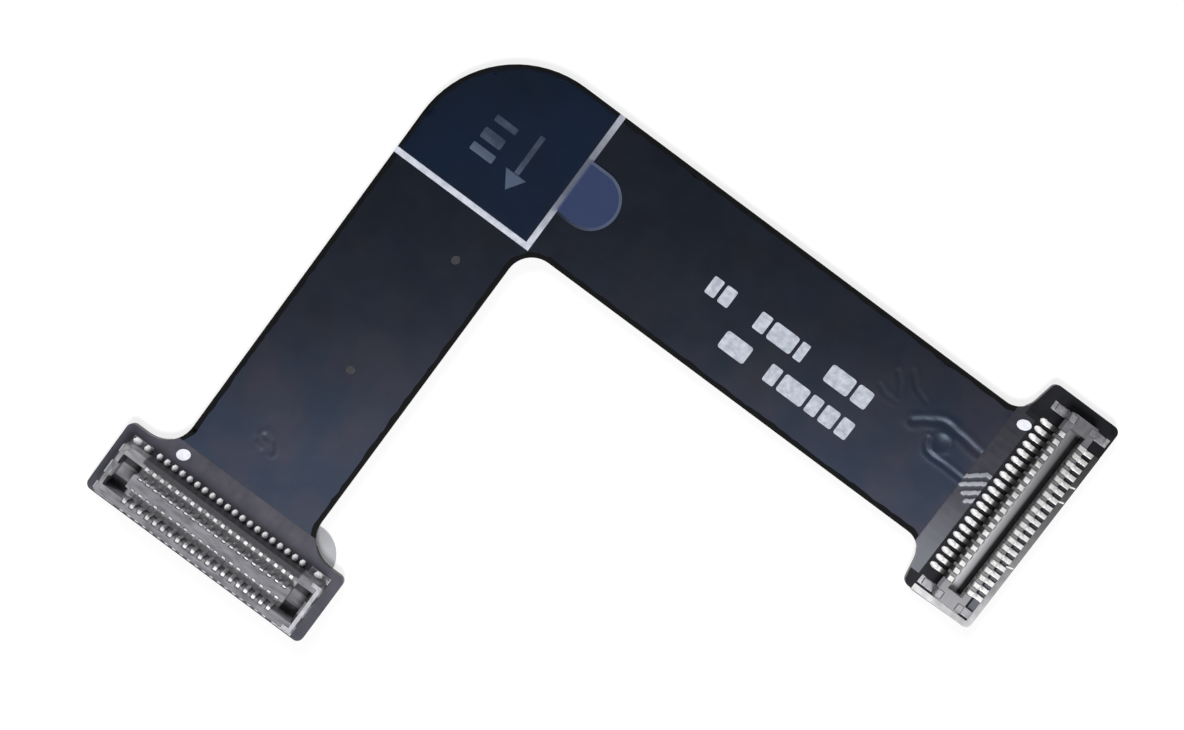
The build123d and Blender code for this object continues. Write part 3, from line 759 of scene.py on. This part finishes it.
# %% Front film
MARGIN = 0.23
SPARE = 0.5
SQUARE = 0.25
RELIEF_SQUARE = 0.07
WANDER = 0.07
WANDER_SIZE = 0.4
RIGHTWARDS = Vector((1, 0, 0))
DOWNWARDS = Vector((0, -1, 0))
film = sheet_outline("flex_circuit", flex_bottom, film_top)
trimmed(film, spot(film_end_right + SPARE, 0), RIGHTWARDS)
trimmed(film, spot(0, film_end_down + SPARE), DOWNWARDS)
for face in edged(film, MARGIN):
    face.material_index = 1
trimmed(film, spot(film_end_right, 0), RIGHTWARDS)
trimmed(film, spot(0, film_end_down), DOWNWARDS)
cut_into_squares(film, SQUARE, WHOLE)
for vert in film.verts:
    if {face.material_index for face in vert.link_faces} == {0, 1}:
        wander = noise.noise(vert.co / (WANDER_SIZE * MM)) * WANDER * MM
        vert.co += Vector((wander, -wander, 0))
for window in RELIEF_WINDOWS:
    cut_into_squares(film, RELIEF_SQUARE, window)
for vert in film.verts:
    vert.co.z = film_top + film_relief(*on_sheet(vert.co)) * MM
thickened(film, flex_top)
film_finishes = [film_finish, margin_finish]
piece("front_film", film, film_finishes, ["shield_film"], smooth=True)

# %% [markdown]
# Beside the connectors the circuit itself comes out from under the film. Its traces stand up under the
# thin coverlay: straight and faint ones behind most lands, and four bright ones beside the header that
# turn down as they leave. Along the crests of the bright ones the coverlay is painted pale, a painted
# highlight.

# %% Traces beside the connectors
PITCH = 0.4
CONTACTS = 20
CONTACT_SHARE = 0.45
FAINT_RISE = 0.002
TRACE_RISE = 0.02
TRACE_HALF_WIDTH = 0.09
CREST_SHARE = 0.95
CLEAR_OF_TRACES = 0.3
CIRCUIT_SQUARE = 1.0
TRACE_SQUARE = 0.06
UNDER_FILM = 4 * TRACE_SQUARE
WING_FINISH_END = 30.6
WING_EARS_START = 27.9
UPPER_EAR_END = -0.05
LOWER_EAR = (8.0, 9.0)
HEADER_SPAN = (-0.8, 8.2)
TUB_SPAN = (-0.9, 8.1)
PAST_TOE = 0.1
SHORT_OF_TOE = 0.01
WING_FINISH_SETBACK = 0.05
CREST_UNDER_FILM = 0.1
FILM_TOUCH = 0.001
header_toe = on_sheet(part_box("header_pads")[0])[0]
tub_toe = on_sheet(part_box("receptacle_pads")[1])[1]
print("land toes at", round(header_toe, 2), "mm right and", round(tub_toe, 2), "mm down")
BRIGHT_TRACES = [
    [(header_toe, 2.92), (28.22, 2.96), (27.50, 3.56)],
    [(header_toe, 3.33), (28.36, 3.33), (27.58, 3.93)],
    [(header_toe, 3.73), (28.43, 3.75), (27.90, 4.17)],
    [(header_toe, 4.14), (28.46, 4.17), (28.17, 4.38)],
]
header_box_low, header_box_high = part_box("header_contacts_cable_side")
tub_box_low, tub_box_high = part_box("receptacle_contacts_cable_side")
first_down = on_sheet(header_box_high)[1]
last_down = on_sheet(header_box_low)[1]
first_right = on_sheet(tub_box_low)[0]
last_right = on_sheet(tub_box_high)[0]


def faint_ridge(value, first, last):
    """A row of soft ridges, one in line with each contact between the first and the last."""
    if not first <= value <= last:
        return 0.0
    pitch = (last - first) / (CONTACTS - 1 + CONTACT_SHARE)
    phase = (value - first) / pitch
    return max(0.0, cos((phase - CONTACT_SHARE / 2) * tau)) ** 2


def from_bright_trace(right, down):
    """How far a place is from the middle of the nearest bright trace."""
    return min(along((right, down), line) for line in BRIGHT_TRACES)


def trace_relief(right, down):
    """How far the coverlay stands up over a trace, in millimetres."""
    away = from_bright_trace(right, down)
    height = TRACE_RISE * hump(away, TRACE_HALF_WIDTH)
    if away > CLEAR_OF_TRACES and film_end_right - UNDER_FILM < right < header_toe:
        height += FAINT_RISE * faint_ridge(down, first_down, last_down)
    if film_end_down - UNDER_FILM < down < tub_toe:
        height += FAINT_RISE * faint_ridge(right, first_right, last_right)
    return height


circuit = sheet_outline("flex_circuit", flex_bottom, flex_top)
cut_into_squares(circuit, CIRCUIT_SQUARE, WHOLE)
header_window = (film_end_right - UNDER_FILM, HEADER_SPAN[0], header_toe + PAST_TOE, HEADER_SPAN[1])
tub_window = (TUB_SPAN[0], film_end_down - UNDER_FILM, TUB_SPAN[1], tub_toe + PAST_TOE)
for window in (header_window, tub_window):
    cut_into_squares(circuit, TRACE_SQUARE, window)
for vert in circuit.verts:
    right, down = on_sheet(vert.co)
    before_header = film_end_right - FILM_TOUCH < right < header_toe - SHORT_OF_TOE
    before_tub = film_end_down - FILM_TOUCH < down < tub_toe - SHORT_OF_TOE
    if before_header or before_tub:
        vert.co.z = flex_top + trace_relief(right, down) * MM
for face in circuit.faces:
    right, down = on_sheet(face.calc_center_median())
    under_header = header_toe + WING_FINISH_SETBACK < right < WING_FINISH_END
    beside_arm = down < UPPER_EAR_END or LOWER_EAR[0] < down < LOWER_EAR[1]
    on_crest = from_bright_trace(right, down) < CREST_SHARE * TRACE_HALF_WIDTH
    if under_header or right > WING_EARS_START and beside_arm:
        face.material_index = 2
    # The crest of a bright trace takes the painted highlight.
    elif right > film_end_right - CREST_UNDER_FILM and on_crest:
        face.material_index = 1
thickened(circuit, flex_bottom)
sheet_finishes = [coverlay_finish, trace_crest_highlight, wing_finish]
piece("circuit_sheet", circuit, sheet_finishes, ["flex_circuit"], smooth=True)

# %% [markdown]
# Print is a set of flat shapes a few thousandths of a millimetre thick. Bars are boxes with their upright
# edges rounded, because ink never fills a sharp corner. Where two bars meet end to end, the ends stay
# square. Dots and the arrowhead are very flat cones with their top cut off.

# %% Printed shapes
INK_SUNK = 0.004
INK_HEIGHT = 0.008
CORNER_SHARE = 0.14
DOT_TOP_SHARE = 0.92


def bar(shape, right, down, width, height, turn=0.0, rounded=True):
    """A printed bar by its centre and size in millimetres."""
    middle = spot(right, down, (INK_HEIGHT - INK_SUNK) / 2)
    size = Matrix.Diagonal((width * MM, height * MM, (INK_HEIGHT + INK_SUNK) * MM, 1))
    matrix = Matrix.Translation(middle) @ Matrix.Rotation(radians(turn), 4, "Z") @ size
    made = bmesh.ops.create_cube(shape, size=1, matrix=matrix)
    if not rounded:
        return
    edges = {edge for vert in made["verts"] for edge in vert.link_edges}
    upright = [e for e in edges if abs(e.verts[0].co.z - e.verts[1].co.z) > JOIN_DISTANCE]
    bmesh.ops.bevel(
        shape, geom=upright, offset=min(width, height) * CORNER_SHARE * MM, offset_type="OFFSET",
        segments=3, profile=0.5, affect="EDGES", clamp_overlap=True, material=-1,
    )


def dot(shape, right, down, length, width, turn, segments=24, height=INK_HEIGHT):
    """A flat oval, or with three segments a triangle that points the way it is turned."""
    middle = spot(right, down, (height - INK_SUNK) / 2)
    size = Matrix.Diagonal((length * MM, width * MM, (height + INK_SUNK) * MM, 1))
    matrix = Matrix.Translation(middle) @ Matrix.Rotation(radians(turn), 4, "Z") @ size
    bmesh.ops.create_cone(
        shape, cap_ends=True, segments=segments, radius1=0.5, radius2=0.5 * DOT_TOP_SHARE, depth=1,
        matrix=matrix,
    )


# %% [markdown]
# Two white lines box in the corner, where the blue liner is laid. The fitter lines its edges up with them.

# %% Locating lines
LINE_ACROSS = 6.82
LINE_DOWN = 6.90
LINE_WIDTH = 0.27
across_end = LINE_DOWN - LINE_WIDTH / 2
down_end = LINE_ACROSS + LINE_WIDTH / 2
lines = bmesh.new()
bar(lines, across_end / 2, LINE_ACROSS, across_end, LINE_WIDTH, rounded=False)
bar(lines, LINE_DOWN, down_end / 2, LINE_WIDTH, down_end, rounded=False)
piece("locating_lines", lines, [line_ink])

# %% [markdown]
# The arrow and three short bars under the blue liner tell the fitter which way the cable goes in.

# %% Arrow under the liner
ARROW_RIGHT = 4.73
SHAFT_DOWN = 3.68
SHAFT_WIDTH = 0.24
SHAFT_LENGTH = 1.92
HEAD_DOWN = 4.93
SHORT_BARS = ((3.17, 3.24, 1.1, 0.3), (3.05, 4.03, 1.05, 0.5), (3.05, 4.76, 1.15, 0.38))
mark = bmesh.new()
bar(mark, ARROW_RIGHT, SHAFT_DOWN, SHAFT_WIDTH, SHAFT_LENGTH)
dot(mark, ARROW_RIGHT, HEAD_DOWN, length=1.24, width=1.08, turn=180, segments=3)
for place_and_size in SHORT_BARS:
    bar(mark, *place_and_size)
piece("direction_mark", mark, [buried_ink])

# %% [markdown]
# The legend on the arm is plain rounded bars of several lengths, in two rows of one height with even gaps.
# Each group gives where it starts, how far down its middle is and the width of each bar.

# %% Legend
LEGEND_HEIGHT = 0.84
LEGEND_GAP = 0.16
GROUPS = (
    (14.02, 3.47, (0.50, 0.54)),
    (16.52, 3.47, (0.56, 1.25, 0.40)),
    (20.24, 3.47, (1.25, 0.77)),
    (15.83, 4.98, (1.34,)),
    (18.18, 4.98, (0.56, 1.30, 0.56, 0.70, 0.60)),
)
legend = bmesh.new()
for right, down, widths in GROUPS:
    for width in widths:
        bar(legend, right + width / 2, down, width, LEGEND_HEIGHT)
        right += width + LEGEND_GAP
piece("legend_blocks", legend, [white_ink])

# %% [markdown]
# A fat white dot marks the first contact of each connector, and two specks of dust lie on the left arm, the
# upper one so faint that it takes a darker finish.

# %% Dots and dust
SPECK_HEIGHT = 0.014
dots = bmesh.new()
dot(dots, 0.38, 22.77, length=0.64, width=0.50, turn=35)
dot(dots, 28.19, 0.34, length=0.64, width=0.46, turn=20)
piece("first_contact_dots", dots, [dot_ink])
specks = bmesh.new()
dot(specks, 3.98, 15.53, length=0.42, width=0.34, turn=20, height=SPECK_HEIGHT)
plain_faces = len(specks.faces)
dot(specks, 4.82, 9.10, length=0.42, width=0.36, turn=60)
for face in specks.faces[plain_faces:]:
    face.material_index = 1
piece("dust_specks", specks, [dust, faint_dust])

# %% [markdown]
# The blue liner is one flat film, and its cut edge is what shows most, a paler rim round the free tab,
# painted as a highlight that is brightest on the side towards the lamp. So the outline is inset, the ring
# round the tab takes the rim finish, and the flat part over the adhesive takes its own. Its clear adhesive
# is a sheet of the same sort. The two are a hair apart, because two clear faces in one place would flicker
# in the render.

# %% Blue liner on the corner
TAB_START = 6.98
RIM = 0.13
HAIR = Vector((0, 0, 0.002)) * MM
bond_low, bond_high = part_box("corner_adhesive")
bond = sheet_outline("corner_adhesive", bond_low.z, (bond_high - HAIR).z)
thickened(bond, (bond_low + HAIR).z)
piece("corner_bond", bond, [clear_bond], ["corner_adhesive"])
liner_low, liner_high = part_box("corner_liner")
liner = sheet_outline("corner_liner", liner_low.z, liner_high.z)
for face in edged(liner, RIM):
    face.material_index = 2
bmesh.ops.bisect_plane(
    liner, geom=everything(liner), plane_co=spot(TAB_START, 0), plane_no=RIGHTWARDS, dist=CUT_TOLERANCE,
)
for face in liner.faces:
    right, _ = on_sheet(face.calc_center_median())
    if right <= TAB_START:
        face.material_index = 0
    elif face.material_index == 0:
        face.material_index = 1
thickened(liner, (liner_low + HAIR).z)
piece("blue_liner", liner, [flat_blue, blue_film, blue_rim_highlight], ["corner_liner"])

# %% [markdown]
# Solder creeps out along each tail and freezes as a small round drop. Half a ball, flattened underneath,
# is stretched to the drop's size and set on the land, and a loop repeats it at the pitch. Three larger
# drops hold the nails on the cable's side of the tub.

# %% Solder at the tails
SOLDER_WIDTH = 0.27
SOLDER_HEIGHT = 0.14
SOLDER_UNEVEN = 0.2
UNEVEN_PATCH = 0.3
NAIL_DROP_WIDTH = 0.32
NAIL_DROP_SETBACK = 0.17
NAIL_DROPS = ((-1.52, 0.5, 0.2), (-1.0, 0.34, 0.17), (8.1, 0.5, 0.18))


def mound(shape, middle, size):
    """A drop of solder frozen on a flat land, by the middle of its underside and its size."""
    matrix = Matrix.Translation(middle) @ Matrix.Diagonal((size[0], size[1], size[2] * 2, 1))
    made = bmesh.ops.create_uvsphere(shape, u_segments=12, v_segments=8, radius=0.5, matrix=matrix)
    for vert in made["verts"]:
        vert.co.z = max(vert.co.z, middle.z)


def solder_row(shape, land_node, contact_node, axis, inwards, length, setback):
    """A drop at each tail of one row of contacts, set back from the toe of its land."""
    other = 1 - axis
    land_low, land_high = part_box(land_node)
    row_low, row_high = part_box(contact_node)
    land_end = land_low[axis] if inwards > 0 else land_high[axis]
    half_width = 0.5 * (row_high[other] - row_low[other] - (CONTACTS - 1) * PITCH * MM)
    for number in range(CONTACTS):
        middle = Vector((0, 0, land_high.z))
        middle[axis] = land_end + inwards * (length / 2 + setback) * MM
        middle[other] = row_low[other] + half_width + number * PITCH * MM
        uneven = 1 + SOLDER_UNEVEN * noise.noise(middle / (UNEVEN_PATCH * MM))
        size = [SOLDER_WIDTH * MM] * 2 + [SOLDER_HEIGHT * MM * uneven]
        size[axis] = length * MM
        mound(shape, middle, size)


plug_solder = bmesh.new()
solder_row(
    plug_solder, "header_pads", "header_contacts_cable_side",
    axis=0, inwards=1, length=0.46, setback=-0.05,
)
solder_row(
    plug_solder, "header_pads", "header_contacts_outer_side",
    axis=0, inwards=-1, length=0.40, setback=0.40,
)
piece("plug_solder", plug_solder, [solder_metal], smooth=True)

tub_solder = bmesh.new()
solder_row(
    tub_solder, "receptacle_pads", "receptacle_contacts_cable_side",
    axis=1, inwards=-1, length=0.31, setback=0.0,
)
solder_row(
    tub_solder, "receptacle_pads", "receptacle_contacts_outer_side",
    axis=1, inwards=1, length=0.3, setback=0.01,
)
tub_land_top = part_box("receptacle_pads")[1].z
for right, length, height in NAIL_DROPS:
    middle = spot(right, tub_toe + NAIL_DROP_SETBACK)
    middle.z = tub_land_top
    mound(tub_solder, middle, Vector((length, NAIL_DROP_WIDTH, height)) * MM)
piece("tub_solder", tub_solder, [brightened_solder], smooth=True)

# %% [markdown]
# The outer and lower edges of the header's wing have no coverlay. The bare sheet there is paler, and it
# laps over the toes of the lands, which is how the lands get their straight edge. Its colour is painted
# from near black at the upper end to near white at the lower one, a painted glare like the housing's. Three
# short stubs run out to the cut edge: they carried the current while the lands were plated.

# %% Bare margin of the header's wing
STRIP_WIDTH = 0.27
STRIP_SKIN = 0.006
STRIP_START = 28.6
STRIP_TOP = -0.4
STRIP_GLARE_GREYS = ((0.0, 26), (0.21, 44), (0.5, 106), (0.84, 170), (1.0, 226))
FIBRE_COLOUR = srgb(40, 41, 44)
STUB_PLACES = (1.26, 2.03, 5.52)
STUB_INSET = 0.19
STUB_LENGTH = 0.32
STUB_WIDTH = 0.07
STUB_TURN = 18
STUB_SKIN = 0.001


def bare_sheet():
    material, shader = principled("bare_sheet", srgb(90, 90, 92), 0.5)
    stops = [(place, srgb(grey, grey, grey + 2)) for place, grey in STRIP_GLARE_GREYS]
    # Painted glare: the greys grow paler down the strip.
    full = ramp(material, between(material, (31, -1.5), (31, 8.4)), stops)
    fibres = drift(material, 0.3, 0.0, 0.22)
    join(blend(material, fibres, full, FIBRE_COLOUR), shader.inputs["Base Color"])
    bumps(material, shader, (0.1, 0.001))
    return material


plug_land_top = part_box("header_pads")[1].z
strip = sheet_outline("flex_circuit", flex_bottom, plug_land_top + STRIP_SKIN * MM)
trimmed(strip, spot(STRIP_START - STRIP_WIDTH, 0), -RIGHTWARDS)
ring = edged(strip, STRIP_WIDTH)
bmesh.ops.delete(strip, geom=[f for f in strip.faces if f not in ring], context="FACES")
trimmed(strip, spot(STRIP_START, 0), -RIGHTWARDS)
trimmed(strip, spot(0, STRIP_TOP), -DOWNWARDS)
thickened(strip, flex_top)
piece("bare_margin", strip, [bare_sheet()])

stubs = bmesh.new()
for down in STUB_PLACES:
    bar(stubs, wing_right - STUB_INSET, down, STUB_LENGTH, STUB_WIDTH, turn=STUB_TURN)
bmesh.ops.translate(stubs, verts=stubs.verts, vec=(0, 0, (STRIP_SKIN + STUB_SKIN) * MM))
piece("plating_stubs", stubs, [solder_metal])

# %% [markdown]
# The rest of the solids keep their shape and take a finish.

# %% Finishes for the carried-over solids
FINISHES = {
    "receptacle_stiffener": board,
    "header_stiffener": board,
    "receptacle_back_adhesive": tape,
    "header_back_adhesive": tape,
    "receptacle_back_liner": clear_film,
    "header_back_liner": clear_film,
}
for node, finish in FINISHES.items():
    nodes[node].data.materials.clear()
    nodes[node].data.materials.append(finish)
    print(node, "takes", finish.name)

# %% [markdown]
# The floor is plain and pale. It is white to the camera, to metal and through clear film by a weak glow
# of its own, and it still takes a soft shadow, because the rest of its white is ordinary paint.

# %% Floor
FLOOR_GAP = 0.02
FLOOR_SIZE = 1.0
FLOOR_GLOW = 0.66
floor_shape = bmesh.new()
bmesh.ops.create_grid(floor_shape, x_segments=1, y_segments=1, size=FLOOR_SIZE)
bmesh.ops.translate(floor_shape, verts=floor_shape.verts, vec=(0, 0, cad_low.z - FLOOR_GAP * MM))
floor_mesh = bpy.data.meshes.new("floor")
floor_shape.to_mesh(floor_mesh)
floor_shape.free()
floor = bpy.data.objects.new("floor", floor_mesh)
bpy.context.collection.objects.link(floor)
floor_paint, floor_shader = principled("floor_paint", (0.4, 0.4, 0.4), 0.9)
rays = add(floor_paint, "ShaderNodeLightPath").outputs
seen = rays["Is Camera Ray"]
for kind in ("Is Glossy Ray", "Is Transmission Ray"):
    seen = add(floor_paint, "ShaderNodeMath", {0: seen, 1: rays[kind]}, operation="MAXIMUM").outputs[0]
floor_shader.inputs["Emission Color"].default_value = (1, 1, 1, 1)
join(product(floor_paint, seen, FLOOR_GLOW), floor_shader.inputs["Emission Strength"])
floor_mesh.materials.append(floor_paint)

# %% [markdown]
# One soft lamp stands over the lower side of the picture, so the satin film brightens towards it. A larger
# lamp, lower and farther off on the other side, and a weak sky fill the rest. All are plain white.

# %% Light
SKY_STRENGTH = 0.1
world = bpy.data.worlds.new("sky")
bpy.context.scene.world = world
world.use_nodes = True
sky = world.node_tree.nodes["Background"]
sky.inputs["Color"].default_value = (1, 1, 1, 1)
sky.inputs["Strength"].default_value = SKY_STRENGTH


def lamp(name, heading, height, distance, size, watts):
    """A square soft lamp that looks at the cable, placed by angles in degrees and sizes in metres."""
    data = bpy.data.lights.new(name, "AREA")
    data.shape = "SQUARE"
    data.size = size
    data.energy = watts
    made = bpy.data.objects.new(name, data)
    across = cos(radians(height))
    way = Vector((cos(radians(heading)) * across, sin(radians(heading)) * across, sin(radians(height))))
    made.location = way * distance
    made.rotation_euler = (-way).to_track_quat("-Z", "Y").to_euler()
    bpy.context.collection.objects.link(made)


lamp("soft_lamp", heading=-61, height=58, distance=0.4, size=0.16, watts=1.25)
lamp("fill_lamp", heading=137, height=31, distance=0.5, size=0.3, watts=2.0)

# %% [markdown]
# Last, the size is printed: the solids' own box.

# %% Size and finish
print("cad box", [round(v / MM, 3) for v in (*cad_low, *cad_high)])
